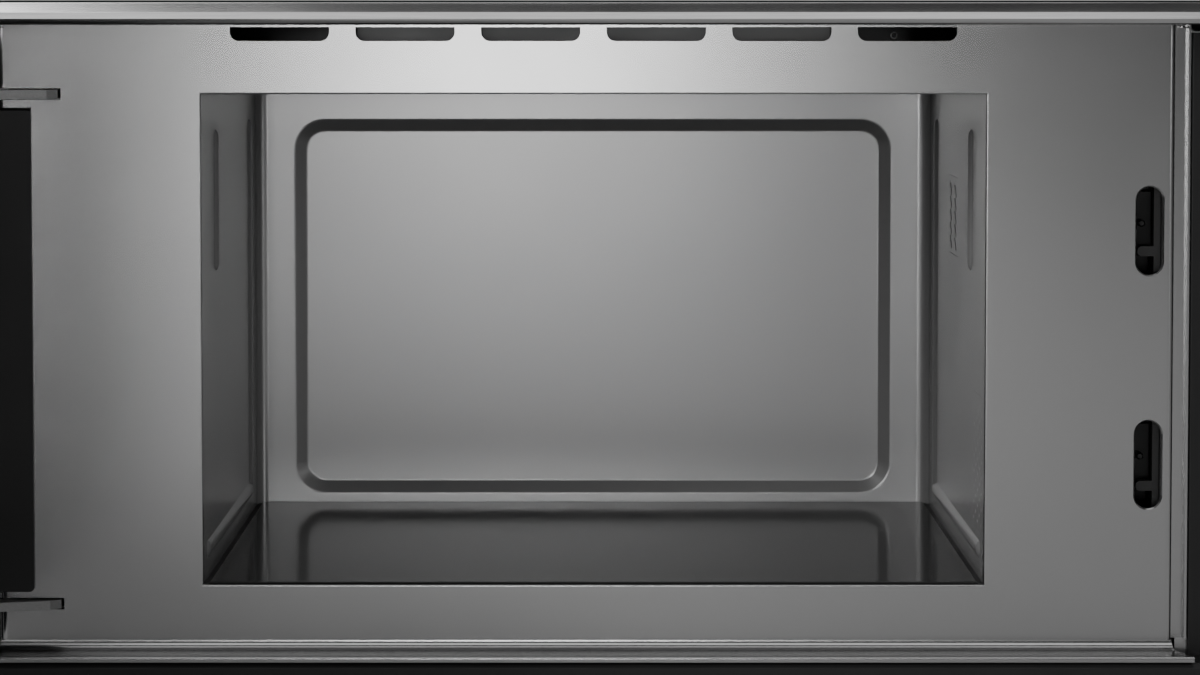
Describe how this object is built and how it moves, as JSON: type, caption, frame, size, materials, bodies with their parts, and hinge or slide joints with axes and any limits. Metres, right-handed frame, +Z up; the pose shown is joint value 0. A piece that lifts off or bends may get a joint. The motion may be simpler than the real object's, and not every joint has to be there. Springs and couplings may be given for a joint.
{
  "type": "built-in microwave oven",
  "caption": "Built-in microwave oven with a flat ceramic floor, a side-hinged glass door standing open, a steel face plate and a glass control panel with a turning ring.",
  "frame": {"origin": "centre of the base plate's underside", "axes": "+X to the right seen from the front, -Y out of the front towards the user, +Z up"},
  "size_m": [0.594, 0.893, 0.382],
  "materials": {
    "plate_steel": "fine satin paint on steel",
    "cavity_enamel": "semi-gloss grey enamel",
    "floor_ceramic": "dark glass-ceramic",
    "seal_rubber": "silicone joint",
    "black_plastic": "moulded, light grain",
    "bar_metal": "brushed along its length",
    "ring_metal": "turned and anodised",
    "white_glass": "printed white behind",
    "clear_glass": "clear, grey tint",
    "lens_plastic": "dark lens",
    "case_steel": "zinc-coated sheet",
    "door_pan_steel": "dark enamel",
    "hinge_steel": "zinc-plated",
    "source_steel": "aluminised sheet",
    "tube_aluminium": "pressed fins",
    "grey_plastic": "glass-filled",
    "white_plastic": "natural",
    "core_iron": "varnished laminations",
    "winding_copper": "enamelled copper wire",
    "board_laminate": "circuit board with parts",
    "wire_insulation": "sleeved wires"
  },
  "bodies": {
    "case": {"air_duct": "grey_plastic", "base_plate": "case_steel", "cavity_back": "cavity_enamel", "cavity_ceiling": "cavity_enamel", "cavity_screens": "cavity_enamel", "cavity_side_left": "cavity_enamel", "cavity_side_right": "cavity_enamel", "ceramic_floor": "floor_ceramic", "control_board": "board_laminate", "control_carrier": "black_plastic", "control_glass": "white_glass", "cord_gland": "grey_plastic", "display_lens": "lens_plastic", "door_switches": "white_plastic", "face_plate": "plate_steel", "fan_frame": "grey_plastic", "filter_board": "board_laminate", "floor_pan": "case_steel", "floor_seal": "seal_rubber", "front_rails": "plate_steel", "hinge_brackets": "hinge_steel", "hinge_cover": "black_plastic", "hinge_pins": "hinge_steel", "hv_capacitor": "source_steel", "lamp_housing": "case_steel", "latch_carrier": "grey_plastic", "lock_motor": "grey_plastic", "lower_trim": "black_plastic", "magnetron_filter": "source_steel", "magnetron_tube": "tube_aluminium", "magnetron_yoke": "source_steel", "rear_panel": "case_steel", "ring_base": "ring_metal", "side_panel_left": "case_steel", "side_panel_right": "case_steel", "side_trim_left": "black_plastic", "side_trim_right": "black_plastic", "stirrer_motor": "source_steel", "terminal_block": "grey_plastic", "top_bar": "bar_metal", "top_panel": "case_steel", "transformer_coils": "winding_copper", "transformer_core": "core_iron", "vent_duct": "case_steel", "waveguide": "source_steel", "wire_harness": "wire_insulation"},
    "door": {"door_outer_glass": "white_glass", "door_pan": "door_pan_steel", "choke_cover": "black_plastic", "door_inner_glass": "clear_glass", "door_stile_hinge": "black_plastic", "door_stile_latch": "black_plastic"},
    "latch": {"latch_bar": "black_plastic"},
    "ring": {"control_ring": "ring_metal"},
    "fan": {"fan_wheel": "white_plastic"},
    "antenna": {"stirrer_antenna": "tube_aluminium"},
    "lock": {"lock_slider": "hinge_steel"},
    "plunger_high": {"switch_plunger_upper": "white_plastic"},
    "plunger_low": {"switch_plunger_lower": "white_plastic"}
  },
  "joints": [
    {"name": "door_swing", "type": "hinge", "parent": "case", "child": "door", "pos_m": [-0.287, -0.16, 0.145], "axis": [0, 0, 1], "range_deg": [-10, 90]},
    {"name": "latch_lift", "type": "slide", "parent": "door", "child": "latch", "axis": [0, 0, 1], "range_m": [0, 0.004], "stiffness_N_per_m": 300},
    {"name": "ring_turn", "type": "hinge", "parent": "case", "child": "ring", "pos_m": [0, -0.1724, 0.341], "axis": [0, 1, 0], "continuous": true},
    {"name": "fan_spin", "type": "hinge", "parent": "case", "child": "fan", "pos_m": [0.226, 0.0555, 0.047], "axis": [0, 1, 0], "continuous": true},
    {"name": "antenna_spin", "type": "hinge", "parent": "case", "child": "antenna", "pos_m": [0, -0.019, 0.02], "axis": [0, 0, 1], "continuous": true},
    {"name": "lock_lift", "type": "slide", "parent": "case", "child": "lock", "axis": [0, 0, 1], "range_m": [0, 0.004]},
    {"name": "plunger_high_press", "type": "slide", "parent": "case", "child": "plunger_high", "axis": [0, 1, 0], "range_m": [0, 0.0015], "stiffness_N_per_m": 200},
    {"name": "plunger_low_press", "type": "slide", "parent": "case", "child": "plunger_low", "axis": [0, 1, 0], "range_m": [0, 0.0015], "stiffness_N_per_m": 200}
  ]
}
